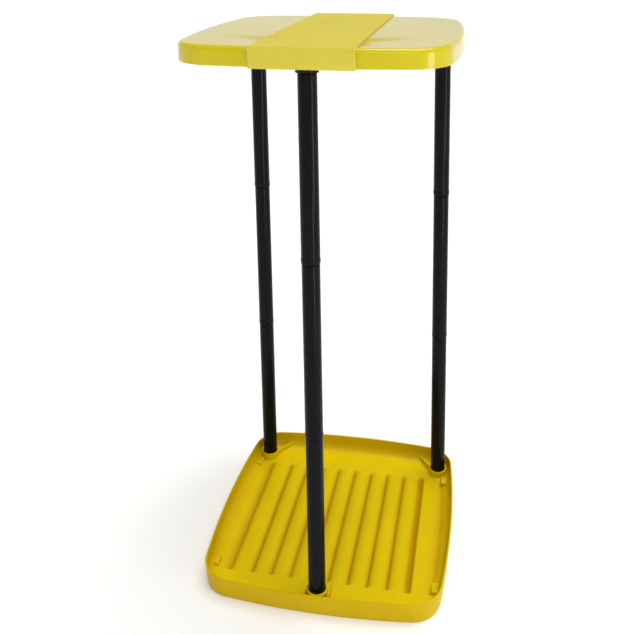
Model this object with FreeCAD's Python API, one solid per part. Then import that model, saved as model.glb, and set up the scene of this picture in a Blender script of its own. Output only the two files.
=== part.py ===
import FreeCAD, Part
import math
import os
from collections import namedtuple

os.makedirs("parts", exist_ok=True)

V = FreeCAD.Vector
UP = V(0, 0, 1)
Outline = namedtuple("Outline", "half_width half_depth side_arc end_arc corner")

# Tray that the stand rests on: a thin bowl inside a drafted skirt, joined at the rim
TRAY = Outline(204.0, 206.0, 1450.0, 1330.0, 51.0)
TRAY_HEIGHT = 39.0
TRAY_DRAFT = 1.5
TRAY_WALL = 2.8
TRAY_SKIN = 2.4
TRAY_FLOOR = 9.0
TRAY_COVE = 19.0
RIM_ROUND = 1.2

# Corrugated panel in the tray floor
GROOVE_COUNT = 10
GROOVE_PITCH = 32.3
GROOVE_RADIUS = 9.5
EDGE_GROOVE_RADIUS = 14.0
GROOVE_DEPTH = 5.5
PANEL_CENTRE_X = -7.0
PANEL_FRONT_Y = -139.0
PANEL_BACK_Y = 129.0

# Three poles: where their axes meet the ground, and the share they draw in by the lid's top
POLE_FEET = {"front": (0.0, -185.0), "left": (-170.5, 159.0), "right": (170.5, 159.0)}
POLE_DRAW_IN = 0.17
LID_TOP = 860.0

# Tube sections: a tapered tube with a lip at its foot and a spigot on its head
SECTION_NAMES = ("lower", "middle", "upper")
JOINT_HEIGHTS = (8.0, 323.0, 590.0, 829.5)
FOOT_RADII = (13.6, 13.0, 12.6)
TUBE_TAPER = 0.8
LIP_PROUD = 0.4
LIP_HEIGHT = 7.0
LIP_CHAMFER = 0.8
SHOULDER = 1.4
SPIGOT_RADIUS = 10.3
SPIGOT_LENGTH = 22.0
SPIGOT_WALL = 2.0
BORE_CONE = 4.0
FIT = 0.05

# Sockets moulded into the tray
SOCKET_TOPS = {"front": 36.0, "left": 22.0, "right": 22.0}
SOCKET_RADIUS = 17.4
FIN_THICKNESS = 2.0
FIN_CENTRE_X = 18.6
FIN_BACK_Y = -150.0
FIN_FRONT_HEIGHT = 30.0
FIN_BACK_HEIGHT = 12.0
BRACE_THICKNESS = 3.0
BRACE_TOP = 19.0
BRACE_START = (160.0, 157.0)
BRACE_END = (128.5, 198.5)
BLOCK_SIZE = (12.0, 20.0, 16.0)
BLOCK_ROUND = 2.0
BLOCK_CENTRES = ((184.5, -135.0), (184.5, 130.0))

# Lid: a shallow cap with a raised band from front to back
LID = Outline(177.0, 180.0, 900.0, 900.0, 56.0)
LID_SKIRT = 22.5
LID_WALL = 2.5
LID_EDGE_ROUND = 5.0
BAND_HALF_WIDTH = 62.0
BAND_OVERHANG = 9.0
BAND_RISE = 2.5
BAND_ROUND = 1.5

# Hoop that the mouth of the bag folds over
HOOP = Outline(162.0, 158.0, 885.0, 880.0, 50.0)
HOOP_WALL = 2.5
HOOP_BOTTOM = 838.0
HOOP_LID_GAP = 0.3
FLANGE_WIDTH = 4.5
FLANGE_THICKNESS = 2.5
COLLAR_RADIUS = 14.4
COLLAR_TOP = 854.0

# Lid hinge, on two pins across the back
HINGE_Y = 173.0
HINGE_Z = 844.0
PIN_RADIUS = 2.0
PIN_EAR_FIT = 0.02
PIN_LUG_FIT = 0.06
EYE_RADIUS = 5.0
EAR_INNER_X = 38.0
EAR_THICKNESS = 6.0
LUG_THICKNESS = 7.0
EAR_LUG_GAP = 0.4

OVERRUN = 5.0


def inset(outline, distance):
    """The same outline drawn in by a distance all round."""
    return Outline(*(size - distance for size in outline))


def corner_points(outline, z):
    """Start, middle and end of the corner arc that joins a side arc to an end arc, at +X +Y."""
    side_centre = V(outline.half_width - outline.side_arc, 0, z)
    end_centre = V(0, outline.half_depth - outline.end_arc, z)
    side_reach = outline.side_arc - outline.corner
    end_reach = outline.end_arc - outline.corner
    gap = end_centre - side_centre
    along = (gap.Length ** 2 + side_reach ** 2 - end_reach ** 2) / (2 * gap.Length)
    across = math.sqrt(side_reach ** 2 - along ** 2)
    unit = gap / gap.Length
    centre = side_centre + unit * along + V(-unit.y, unit.x, 0) * across
    on_side = side_centre + (centre - side_centre) * (outline.side_arc / side_reach)
    on_end = end_centre + (centre - end_centre) * (outline.end_arc / end_reach)
    outward = on_side + on_end - centre * 2
    return on_side, centre + outward * (outline.corner / outward.Length), on_end


def outline_wire(outline, z):
    """Closed wire of eight arcs: four long bulged sides and four tangent corners."""
    corners = []
    for sx, sy in ((1, 1), (-1, 1), (-1, -1), (1, -1)):
        corners.append([V(p.x * sx, p.y * sy, z) for p in corner_points(outline, z)])
    middles = (V(0, outline.half_depth, z), V(-outline.half_width, 0, z),
               V(0, -outline.half_depth, z), V(outline.half_width, 0, z))
    edges = []
    for index, corner in enumerate(corners):
        turned = corner if index % 2 == 0 else corner[::-1]
        following = corners[(index + 1) % 4]
        next_start = following[2] if index % 2 == 0 else following[0]
        edges.append(Part.Arc(*turned).toShape())
        edges.append(Part.Arc(turned[2], middles[index], next_start).toShape())
    return Part.Wire(edges)


def outline_prism(outline, bottom, top):
    """Upright prism on an outline."""
    return Part.Face(outline_wire(outline, bottom)).extrude(UP * (top - bottom))


def edges_at(solid, z):
    """Edges of a solid that lie wholly in one level plane."""
    found = []
    for edge in solid.Edges:
        box = edge.BoundBox
        if abs(box.ZMin - z) < 0.01 and abs(box.ZMax - z) < 0.01:
            found.append(edge)
    return found


def block(x0, x1, y0, y1, z0, z1):
    """Rectangular block between two opposite corners."""
    return Part.makeBox(x1 - x0, y1 - y0, z1 - z0, V(x0, y0, z0))


def mirrored(shape):
    """The shape's mirror image across the stand's middle plane."""
    return shape.mirror(V(0, 0, 0), V(1, 0, 0))


def save(shape, name):
    """Write one finished solid."""
    solid = shape.removeSplitter()
    if len(solid.Solids) != 1 or not solid.isValid():
        raise ValueError(name + " is not one valid solid")
    solid.Solids[0].exportStep("parts/" + name + ".step")


def pole_direction(pole):
    """Unit vector up a pole's leaning axis."""
    x, y = POLE_FEET[pole]
    axis = V(-x * POLE_DRAW_IN, -y * POLE_DRAW_IN, LID_TOP)
    return axis / axis.Length


def on_pole(shape, pole, height):
    """Move a shape built up the Z axis onto a pole's axis, its origin at a height."""
    direction = pole_direction(pole)
    foot = V(*POLE_FEET[pole], 0)
    start = foot + direction * (height / direction.z)
    placed = shape.copy()
    placed.Placement = FreeCAD.Placement(start, FreeCAD.Rotation(UP, direction))
    return placed


def tube_section(length, foot_radius):
    """Hollow tube turned from its half profile, foot at the origin, with its spigot above."""
    bore = SPIGOT_RADIUS + FIT
    head = length + SPIGOT_LENGTH
    head_radius = foot_radius - TUBE_TAPER
    lip = foot_radius + LIP_PROUD
    profile = [
        (bore, 0), (lip - LIP_CHAMFER, 0), (lip, LIP_CHAMFER),
        (lip, LIP_HEIGHT - LIP_CHAMFER), (foot_radius, LIP_HEIGHT),
        (head_radius, length - SHOULDER), (head_radius - SHOULDER, length),
        (SPIGOT_RADIUS, length), (SPIGOT_RADIUS, head - LIP_CHAMFER),
        (SPIGOT_RADIUS - LIP_CHAMFER, head), (SPIGOT_RADIUS - SPIGOT_WALL, head),
        (SPIGOT_RADIUS - SPIGOT_WALL, length), (bore, length - BORE_CONE),
    ]
    wire = Part.makePolygon([V(r, 0, z) for r, z in profile + profile[:1]])
    return Part.Face(wire).revolve(V(0, 0, 0), UP, 360)


def make_pole(pole):
    """Three sections standing one in another up a leaning axis."""
    rise = pole_direction(pole).z
    for index, name in enumerate(SECTION_NAMES):
        length = (JOINT_HEIGHTS[index + 1] - JOINT_HEIGHTS[index]) / rise
        section = on_pole(tube_section(length, FOOT_RADII[index]), pole, JOINT_HEIGHTS[index])
        save(section, pole + "_pole_" + name + "_tube")


def groove_bars(extra):
    """Round bars with ball ends, one along each groove, swollen by an extra radius."""
    bars = []
    for index in range(GROOVE_COUNT):
        at_edge = index in (0, GROOVE_COUNT - 1)
        radius = EDGE_GROOVE_RADIUS if at_edge else GROOVE_RADIUS
        x = PANEL_CENTRE_X + (index - (GROOVE_COUNT - 1) / 2) * GROOVE_PITCH
        z = TRAY_FLOOR - GROOVE_DEPTH + radius
        front, back = V(x, PANEL_FRONT_Y, z), V(x, PANEL_BACK_Y, z)
        bar = Part.makeCylinder(radius + extra, (back - front).Length, front, V(0, 1, 0))
        for end in (front, back):
            bar = bar.fuse(Part.makeSphere(radius + extra, end))
        bars.append(bar)
    return bars


def tray_shell():
    """Bowl with coved sides, hung from the rim inside a drafted skirt, open underneath."""
    foot_wire = outline_wire(inset(TRAY, TRAY_DRAFT), 0)
    rim_wire = outline_wire(TRAY, TRAY_HEIGHT)
    outer = Part.makeLoft([foot_wire, rim_wire], True, True)
    above = TRAY_HEIGHT + OVERRUN
    bowl = outline_prism(inset(TRAY, TRAY_WALL), TRAY_FLOOR, above)
    bowl = bowl.makeFillet(TRAY_COVE, edges_at(bowl, TRAY_FLOOR))
    crust = outline_prism(inset(TRAY, TRAY_WALL - TRAY_SKIN), TRAY_FLOOR - TRAY_SKIN, above)
    crust = crust.makeFillet(TRAY_COVE + TRAY_SKIN, edges_at(crust, TRAY_FLOOR - TRAY_SKIN))
    hollow = outline_prism(inset(TRAY, TRAY_DRAFT + TRAY_SKIN), -OVERRUN, TRAY_HEIGHT)
    shell = outer.cut(hollow.cut(crust)).cut(bowl)
    return shell.makeFillet(RIM_ROUND, edges_at(shell, TRAY_HEIGHT))


def tray_fin():
    """Upright fin that runs from the front wall back to the panel, beside the front socket."""
    x = FIN_CENTRE_X - FIN_THICKNESS / 2
    front = -TRAY.half_depth + TRAY_WALL / 2
    bottom = TRAY_FLOOR - TRAY_SKIN / 2
    outline = [V(x, front, bottom), V(x, FIN_BACK_Y, bottom), V(x, FIN_BACK_Y, FIN_BACK_HEIGHT),
               V(x, -TRAY.half_depth + TRAY_COVE, FIN_FRONT_HEIGHT),
               V(x, front, FIN_FRONT_HEIGHT)]
    return Part.Face(Part.makePolygon(outline + outline[:1])).extrude(V(FIN_THICKNESS, 0, 0))


def tray_brace():
    """Low rib from the right back socket to the back wall."""
    start = V(*BRACE_START, 0)
    reach = V(*BRACE_END, 0) - start
    bottom = TRAY_FLOOR - TRAY_SKIN / 2
    corner = V(0, -BRACE_THICKNESS / 2, bottom)
    rib = Part.makeBox(reach.Length, BRACE_THICKNESS, BRACE_TOP - bottom, corner)
    rib.Placement = FreeCAD.Placement(start, FreeCAD.Rotation(V(1, 0, 0), reach))
    return rib


def tray_blocks():
    """Locating blocks beside the right-hand wall."""
    made = []
    width, depth, height = BLOCK_SIZE
    for x, y in BLOCK_CENTRES:
        body = block(x - width / 2, x + width / 2, y - depth / 2, y + depth / 2,
                     TRAY_FLOOR - TRAY_SKIN / 2, height)
        upper = [edge for edge in body.Edges if edge.BoundBox.ZMax > height - 0.01]
        made.append(body.makeFillet(BLOCK_ROUND, upper))
    return made


def make_tray():
    """The tray with its grooves, sockets, fins, ribs and locating blocks."""
    tray = tray_shell()
    under = block(-TRAY.half_width, TRAY.half_width, -TRAY.half_depth, TRAY.half_depth,
                  0, TRAY_FLOOR - TRAY_SKIN / 2)
    tray = tray.multiFuse([bar.common(under) for bar in groove_bars(TRAY_SKIN)])
    tray = tray.cut(groove_bars(0))
    additions = [tray_fin(), mirrored(tray_fin()), tray_brace(), mirrored(tray_brace())]
    for piece in tray_blocks():
        additions += [piece, mirrored(piece)]
    envelope = Part.makeLoft([outline_wire(inset(TRAY, TRAY_DRAFT + 1), 0),
                              outline_wire(inset(TRAY, 1), TRAY_HEIGHT)], True, True)
    tray = tray.multiFuse([piece.common(envelope) for piece in additions])
    for pole, top in SOCKET_TOPS.items():
        x, y = POLE_FEET[pole]
        boss = Part.makeCylinder(SOCKET_RADIUS, top, V(x, y, 0)).common(envelope)
        tray = tray.fuse(boss)
        bore = Part.makeCylinder(FOOT_RADII[0] + LIP_PROUD + FIT, TRAY_HEIGHT)
        tray = tray.cut(on_pole(bore, pole, JOINT_HEIGHTS[0]))
    save(tray, "base_tray")


def lid_band(margin, bottom, top):
    """Block of the raised band that runs over the lid, drawn in by a margin."""
    half_width = BAND_HALF_WIDTH - margin
    half_depth = LID.half_depth + BAND_OVERHANG - margin
    return block(-half_width, half_width, -half_depth, half_depth, bottom, top)


def lid_lug():
    """Eye that hangs from the lid's underside beside the right ear, clear of its pin hole."""
    x = EAR_INNER_X + EAR_THICKNESS + EAR_LUG_GAP
    axis = V(1, 0, 0)
    eye = Part.makeCylinder(EYE_RADIUS, LUG_THICKNESS, V(x, HINGE_Y, HINGE_Z), axis)
    stem = block(x, x + LUG_THICKNESS, HINGE_Y - EYE_RADIUS, HINGE_Y + EYE_RADIUS,
                 HINGE_Z, LID_TOP - LID_WALL / 2)
    hole = Part.makeCylinder(PIN_RADIUS + PIN_LUG_FIT, LUG_THICKNESS + 2 * OVERRUN,
                             V(x - OVERRUN, HINGE_Y, HINGE_Z), axis)
    return eye.fuse(stem).cut(hole)


def make_lid():
    """Cap, raised band and two hinge eyes as one moulding."""
    bottom = LID_TOP - LID_SKIRT
    cap = outline_prism(LID, bottom, LID_TOP)
    cap = cap.makeFillet(LID_EDGE_ROUND, edges_at(cap, LID_TOP))
    band = lid_band(0, bottom, LID_TOP + BAND_RISE)
    sharp = [edge for edge in band.Edges if edge.BoundBox.ZMax > bottom + 0.01]
    band = band.makeFillet(BAND_ROUND, sharp)
    inside = outline_prism(inset(LID, LID_WALL), bottom - OVERRUN, LID_TOP - LID_WALL)
    under_band = lid_band(LID_WALL, bottom - OVERRUN, LID_TOP - LID_WALL)
    lid = cap.fuse(band).cut(inside.fuse(under_band))
    save(lid.multiFuse([lid_lug(), mirrored(lid_lug())]), "lid")


def hoop_ear():
    """Ear that stands back from the hoop and holds the right hinge pin."""
    x = EAR_INNER_X
    axis = V(1, 0, 0)
    eye = Part.makeCylinder(EYE_RADIUS, EAR_THICKNESS, V(x, HINGE_Y, HINGE_Z), axis)
    arm = block(x, x + EAR_THICKNESS, HOOP.half_depth - HOOP_WALL, HINGE_Y,
                HINGE_Z - EYE_RADIUS, HINGE_Z + EYE_RADIUS)
    hole = Part.makeCylinder(PIN_RADIUS + PIN_EAR_FIT, EAR_THICKNESS + 2 * OVERRUN,
                             V(x - OVERRUN, HINGE_Y, HINGE_Z), axis)
    return eye.fuse(arm).cut(hole)


def make_hoop():
    """Upright band with a foot flange, a collar over each pole and two hinge ears."""
    top = LID_TOP - LID_WALL - HOOP_LID_GAP
    band = outline_prism(HOOP, HOOP_BOTTOM, top)
    flange = outline_prism(inset(HOOP, -FLANGE_WIDTH), HOOP_BOTTOM, HOOP_BOTTOM + FLANGE_THICKNESS)
    mouth = outline_prism(inset(HOOP, HOOP_WALL), HOOP_BOTTOM - OVERRUN, top + OVERRUN)
    hoop = band.fuse(flange).cut(mouth)
    seat = JOINT_HEIGHTS[-1]
    for pole in POLE_FEET:
        collar = Part.makeCylinder(COLLAR_RADIUS, COLLAR_TOP - seat)
        hoop = hoop.fuse(on_pole(collar, pole, seat))
    for pole in POLE_FEET:
        bore = Part.makeCylinder(SPIGOT_RADIUS + FIT, SPIGOT_LENGTH + 2 * FIT)
        hoop = hoop.cut(on_pole(bore, pole, seat))
    save(hoop.multiFuse([hoop_ear(), mirrored(hoop_ear())]), "bag_hoop")


def make_hinge_pins():
    """Pin through each ear and eye."""
    length = EAR_THICKNESS + EAR_LUG_GAP + LUG_THICKNESS
    pin = Part.makeCylinder(PIN_RADIUS, length, V(EAR_INNER_X, HINGE_Y, HINGE_Z), V(1, 0, 0))
    save(pin, "right_hinge_pin")
    save(mirrored(pin), "left_hinge_pin")


make_tray()
for pole_name in POLE_FEET:
    make_pole(pole_name)
make_hoop()
make_hinge_pins()
make_lid()
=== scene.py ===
"""Finished surfaces of a three-pole bag holder, built around its fixed frame.

The stand is a moulded tray, three poles of three push-fit tubes each, and a hoop that the
mouth of a bag folds over. The lid turns on two steel pins across the back of the hoop.
"""

import math

import bmesh
import bpy
import numpy as np
from mathutils import Matrix, Vector


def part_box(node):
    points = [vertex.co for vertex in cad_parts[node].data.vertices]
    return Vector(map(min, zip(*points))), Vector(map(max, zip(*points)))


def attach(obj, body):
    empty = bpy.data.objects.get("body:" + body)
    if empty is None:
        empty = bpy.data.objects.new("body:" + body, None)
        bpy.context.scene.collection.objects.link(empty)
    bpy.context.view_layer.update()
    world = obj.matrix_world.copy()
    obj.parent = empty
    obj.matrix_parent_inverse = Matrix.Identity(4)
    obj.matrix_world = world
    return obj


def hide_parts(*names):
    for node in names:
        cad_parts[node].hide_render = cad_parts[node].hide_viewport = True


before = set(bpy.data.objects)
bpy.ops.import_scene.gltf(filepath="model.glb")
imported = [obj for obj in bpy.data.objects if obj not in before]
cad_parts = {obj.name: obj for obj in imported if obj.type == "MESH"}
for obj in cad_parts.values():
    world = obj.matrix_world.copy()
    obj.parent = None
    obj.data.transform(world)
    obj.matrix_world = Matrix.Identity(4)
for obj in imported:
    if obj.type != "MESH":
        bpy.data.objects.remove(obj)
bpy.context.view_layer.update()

bl_info = {
    "name": "Three-pole bag holder",
    "version": (1, 0, 0),
    "blender": (4, 5, 0),
    "location": "View3D > Sidebar > Bag Holder",
    "description": "Builds the tray, tubes, hoop, pins and lid of a bag holder on its frame",
    "category": "Add Mesh",
}

MM = 0.001
FIT = 0.05 * MM
LIP_PROUD = 0.4 * MM
BAND_RISE = 2.5 * MM
TRAY_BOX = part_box("base_tray")
LID_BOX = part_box("lid")
HOOP_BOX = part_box("bag_hoop")
PIN_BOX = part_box("right_hinge_pin")

POLES = ("front", "left", "right")
SECTIONS = ("lower", "middle", "upper")


# ---------------- settings

def length_setting(name, description, default):
    """Property for one size, a length in metres."""
    return bpy.props.FloatProperty(name=name, description=description, default=default,
                                   unit="LENGTH")


def colour_setting(name, description, default):
    """Property for one colour, as sRGB hex."""
    return bpy.props.StringProperty(name=name, description=description, default=default)


class TraySizes(bpy.types.PropertyGroup):
    """Sizes of the moulded tray."""

    side_arc: length_setting("Side arc", "Radius of the long sides' bulge", 1450 * MM)
    end_arc: length_setting("End arc", "Radius of the front and back's bulge", 1330 * MM)
    corner: length_setting("Corner", "Radius of the corners", 51 * MM)
    wall: length_setting("Wall", "Thickness of the rim", 2.8 * MM)
    skin: length_setting("Skin", "Thickness of the floor", 2.4 * MM)
    draft: length_setting("Draft", "How far the skirt draws in at its foot", 1.5 * MM)
    floor: length_setting("Floor", "Height of the floor's top", 9 * MM)
    cove: length_setting("Cove", "Radius where the floor turns up into the wall", 19 * MM)
    groove_pitch: length_setting("Groove pitch", "Distance between grooves", 32.3 * MM)
    groove_depth: length_setting("Groove depth", "Depth of the grooves", 5.5 * MM)


class LidSizes(bpy.types.PropertyGroup):
    """Sizes of the lid and its raised band."""

    arc: length_setting("Side arc", "Radius of the four sides' bulge", 900 * MM)
    corner: length_setting("Corner", "Radius of the corners", 56 * MM)
    wall: length_setting("Wall", "Thickness of the moulding", 2.5 * MM)
    edge: length_setting("Edge", "Radius of the top edge", 5 * MM)
    draft: length_setting("Draft", "How far the skirt draws in at its top", 1 * MM)
    band_half_width: length_setting("Band half width", "Half the width of the raised band", 62 * MM)
    band_rise: length_setting("Band rise", "Height of the band above the panels", BAND_RISE)
    band_overhang: length_setting(
        "Band overhang", "How far the band stands out at the front and back", 9 * MM)
    band_edge: length_setting("Band edge", "Radius of the band's edges", 1.5 * MM)


class HoopSizes(bpy.types.PropertyGroup):
    """Sizes of the bag hoop."""

    half_width: length_setting("Half width", "Half the hoop's width", 162 * MM)
    half_depth: length_setting("Half depth", "Half the hoop's depth", 158 * MM)
    side_arc: length_setting("Side arc", "Radius of the long sides' bulge", 885 * MM)
    end_arc: length_setting("End arc", "Radius of the front and back's bulge", 880 * MM)
    corner: length_setting("Corner", "Radius of the corners", 50 * MM)
    wall: length_setting("Wall", "Thickness of the hoop", 2.5 * MM)
    flange: length_setting("Flange", "How far the flange at the hoop's foot stands out", 4.5 * MM)
    base: length_setting("Base", "Height of the hoop's foot", 838 * MM)
    collar: length_setting("Collar", "Radius of the pole collars", 14.4 * MM)
    collar_height: length_setting("Collar height", "Height of the pole collars", 24.5 * MM)


class PoleSizes(bpy.types.PropertyGroup):
    """Sizes of the push-fit tubes."""

    draw_in: bpy.props.FloatProperty(
        name="Draw in", description="Share of a foot's distance that a pole leans in by the lid",
        default=0.17)
    taper: length_setting("Taper", "Loss of radius from foot to head", 0.8 * MM)
    lip: length_setting("Lip", "How far the foot's lip stands proud", LIP_PROUD)
    lip_height: length_setting("Lip height", "Height of the foot's lip", 7 * MM)
    shoulder: length_setting("Shoulder", "Size of the head's shoulder", 1.4 * MM)
    spigot: length_setting("Spigot", "Radius of the head's spigot", 10.3 * MM)
    spigot_length: length_setting("Spigot length", "Length of the head's spigot", 22 * MM)
    spigot_wall: length_setting("Spigot wall", "Thickness of the spigot", 2 * MM)


class FinishColours(bpy.types.PropertyGroup):
    """Colours of the plastics and the steel, as sRGB hex."""

    lid_yellow: colour_setting("Lid yellow", "Yellow of the lid", "CCBA00")
    band_yellow: colour_setting("Band yellow", "Paler yellow of the matt band", "CEBE3A")
    tray_yellow: colour_setting("Tray yellow", "Yellow of the tray", "DEC200")
    # Painted shade: the deeper yellow laid into the tray's valleys and up its cove and walls
    painted_shade_yellow: colour_setting(
        "Crease yellow", "Deeper yellow of the tray's valleys and walls", "BE9200")
    tube_black: colour_setting("Tube black", "Black of the tubes and the hoop", "0C0B0C")
    pin_steel: colour_setting("Pin steel", "Steel of the hinge pins", "B9BBBD")
    stage_white: colour_setting("Stage", "Floor of the stage", "FDFDFC")


SETTINGS = {
    "bag_holder_tray": TraySizes, "bag_holder_lid": LidSizes, "bag_holder_hoop": HoopSizes,
    "bag_holder_poles": PoleSizes, "bag_holder_colours": FinishColours,
}

# Where the poles stand on the ground, and the heights at which their sections meet
POLE_FEET = {"front": (0.0, -185 * MM), "left": (-170.5 * MM, 159 * MM),
             "right": (170.5 * MM, 159 * MM)}
LID_TOP = LID_BOX[1].z - BAND_RISE
JOINT_HEIGHTS = (8 * MM, 323 * MM, 590 * MM, 829.5 * MM)
FOOT_RADII = (13.6 * MM, 13 * MM, 12.6 * MM)


# ---------------- surfaces

def arc_steps(count):
    """Sines and cosines of a quarter turn in equal steps."""
    angle = np.linspace(0, math.pi / 2, count)
    return np.sin(angle), np.cos(angle)


def rounded(corners, radius, steps=4, closed=True):
    """Outline through some corners, each rounded off.

    At each corner a parabola runs from a point on one side to a point on the next, both the
    radius away from the corner, or nearer where a side is short.
    """
    corners = np.array(corners, float)
    before = np.roll(corners, 1, axis=0) - corners
    after = np.roll(corners, -1, axis=0) - corners
    if not closed:
        before[0] = 0
        after[-1] = 0
    reach_before, reach_after = (np.linalg.norm(side, axis=1) for side in (before, after))
    reach = np.minimum(radius, 0.45 * np.minimum(reach_before, reach_after))
    start = corners + before * (reach / np.maximum(reach_before, 1e-9))[:, None]
    end = corners + after * (reach / np.maximum(reach_after, 1e-9))[:, None]
    t = np.linspace(0, 1, steps)[None, :, None]
    bend = (start[:, None] * (1 - t) ** 2 + corners[:, None] * 2 * t * (1 - t)
            + end[:, None] * t ** 2)
    return bend.reshape(-1, 2)


def turned(profile, foot, direction, columns=48):
    """Surface of revolution: a profile of radius and height carried round a leaning axis."""
    direction = np.array(direction, float)
    side = np.cross(direction, (0.0, 1.0, 0.0))
    if np.linalg.norm(side) < 0.5:
        side = np.cross(direction, (1.0, 0.0, 0.0))
    side /= np.linalg.norm(side)
    other = np.cross(direction, side)
    angle = np.arange(columns) * (2 * math.pi / columns)
    spoke = np.cos(angle)[:, None] * side + np.sin(angle)[:, None] * other
    radius, height = np.array(profile, float).T
    return (np.array(foot) + height[:, None, None] * direction
            + radius[:, None, None] * spoke[None])


def capped(corners, radius):
    """Profile of a solid of revolution, rounded at its corners and closed on the axis at the
    heights of its first and last corner."""
    middle = rounded(corners, radius, closed=False)[1:-1]
    return np.vstack([[(0.0, corners[0][1])], middle, [(0.0, corners[-1][1])]])


def pole_axis(pole, draw_in):
    """Foot and unit direction of a pole's axis: at the lid's height it has moved from its
    foot towards the middle by the share that it draws in."""
    x, y = POLE_FEET[pole]
    axis = np.array([-x * draw_in, -y * draw_in, LID_TOP])
    return np.array([x, y, 0.0]), axis / np.linalg.norm(axis)


def corner_centre(outline):
    """Centre of the corner arc at +x +y: it touches the side arc and the end arc from within."""
    half_width, half_depth, side_arc, end_arc, corner = outline
    side_centre = np.array([half_width - side_arc, 0.0])
    gap = np.array([0.0, half_depth - end_arc]) - side_centre
    length = np.hypot(*gap)
    side_reach, end_reach = side_arc - corner, end_arc - corner
    along = (length ** 2 + side_reach ** 2 - end_reach ** 2) / (2 * length)
    across = math.sqrt(side_reach ** 2 - along ** 2)
    return side_centre + (gap * along + np.array([-gap[1], gap[0]]) * across) / length


def bulged_side(places, half, arc, centre_out, centre_along, corner):
    """Distance out and normal of one bulged side, at places measured along it.

    The side is one long circular arc, and past the point where it touches a corner's arc it
    is that arc.
    """
    meets = centre_along * arc / (arc - corner)
    on_arc = np.abs(places) <= meets
    middle_out = np.where(on_arc, half - arc, centre_out)
    middle_along = np.where(on_arc, 0.0, np.sign(places) * centre_along)
    radius = np.where(on_arc, arc, corner)
    sweep = (places - middle_along) / radius
    rise = np.sqrt(1 - sweep ** 2)
    return middle_out + radius * rise, rise, sweep


def stretch(places, keep, limit):
    """Places spread past a kept middle part so that the last one reaches the limit."""
    size = np.abs(places)
    spread = keep + (size - keep) * (limit - keep) / (size.max() - keep)
    return np.where(size <= keep, places, np.sign(places) * spread)


def outline_ring(outline, xs, ys, keep):
    """Points and normals round an outline, one for each place on a rectangular grid's border.

    The ring runs up the right side, back along the rear, down the left side and forward
    along the front, and turns each corner at the middle of its arc.
    """
    half_width, half_depth, side_arc, end_arc, corner = outline
    centre_x, centre_y = corner_centre(outline)
    half_turn = corner * math.sqrt(0.5)
    side_places = stretch(ys, keep[1], centre_y + half_turn)
    end_places = stretch(xs, keep[0], centre_x + half_turn)
    side = bulged_side(side_places, half_width, side_arc, centre_x, centre_y, corner)
    end = bulged_side(end_places, half_depth, end_arc, centre_y, centre_x, corner)
    right = np.stack([side[0], side_places, side[1], side[2]], axis=1)
    rear = np.stack([end_places, end[0], end[2], end[1]], axis=1)
    left = right * (-1, 1, -1, 1)
    front = rear * (1, -1, 1, -1)
    ring = np.vstack([right[:-1], rear[:0:-1], left[:0:-1], front[:-1]])
    return ring[:, :2], ring[:, 2:]


def border_of(xs, ys):
    """The same ring on the border of the rectangular grid itself."""
    right = np.stack([np.full(len(ys), xs[-1]), ys], axis=1)
    rear = np.stack([xs, np.full(len(xs), ys[-1])], axis=1)
    left = np.stack([np.full(len(ys), xs[0]), ys], axis=1)
    front = np.stack([xs, np.full(len(xs), ys[0])], axis=1)
    return np.vstack([right[:-1], rear[:0:-1], left[:0:-1], front[:-1]])


def swept(ring, normals, section):
    """Section of inset and height carried round a ring of points."""
    inset, height = np.array(section, float).T
    flat = ring[None] - normals[None] * inset[:, None, None]
    level = np.broadcast_to(height[:, None, None], flat.shape[:2] + (1,))
    return np.concatenate([flat, level], axis=2)


def grid_faces(rows, columns, wrap_rows, wrap_columns):
    """Quads of a grid of points, joined across a seam where the grid closes on itself."""
    index = np.arange(rows * columns).reshape(rows, columns)
    if wrap_columns:
        index = np.hstack([index, index[:, :1]])
    if wrap_rows:
        index = np.vstack([index, index[:1]])
    corners = (index[:-1, :-1], index[:-1, 1:], index[1:, 1:], index[1:, :-1])
    return np.stack(corners, axis=-1).reshape(-1, 4)


def add_object(name, data):
    """Object for a mesh, light or camera, linked to the scene."""
    made = bpy.data.objects.new(name, data)
    bpy.context.scene.collection.objects.link(made)
    return made


def finished_piece(name, grids, node, finish, attributes=None):
    """One closed mesh from some grids, standing for a CAD node and riding on its body.

    Each grid is its points, whether its rows close on themselves, and whether its columns
    do. Points that coincide are merged, which closes the seams and the poles.
    """
    points, faces, count = [], [], 0
    for grid, wrap_rows, wrap_columns in grids:
        rows, columns = grid.shape[:2]
        faces.append(grid_faces(rows, columns, wrap_rows, wrap_columns) + count)
        points.append(grid.reshape(-1, 3))
        count += rows * columns
    points = np.vstack(points)
    mesh = bpy.data.meshes.new(name)
    mesh.from_pydata(points, [], np.vstack(faces))
    for label, formula in (attributes or {}).items():
        layer = mesh.attributes.new(label, "FLOAT", "POINT")
        layer.data.foreach_set("value", formula(points).astype(np.float32))
    edit = bmesh.new()
    edit.from_mesh(mesh)
    bmesh.ops.remove_doubles(edit, verts=edit.verts, dist=2e-6)
    bmesh.ops.recalc_face_normals(edit, faces=edit.faces)
    edit.to_mesh(mesh)
    edit.free()
    mesh.shade_smooth()
    mesh.set_sharp_from_angle(angle=math.radians(38))
    mesh.materials.append(finish)
    piece = add_object(name, mesh)
    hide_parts(node)
    body = "lid" if node == "lid" else "stand"
    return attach(piece, body)


# ---------------- finishes

def linear(hex_colour):
    """Linear colour, with full alpha, of an sRGB hex value."""
    parts = [int(hex_colour[i:i + 2], 16) / 255 for i in (0, 2, 4)]
    curve = [p / 12.92 if p <= 0.04045 else ((p + 0.055) / 1.055) ** 2.4 for p in parts]
    return (*curve, 1.0)


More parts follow.
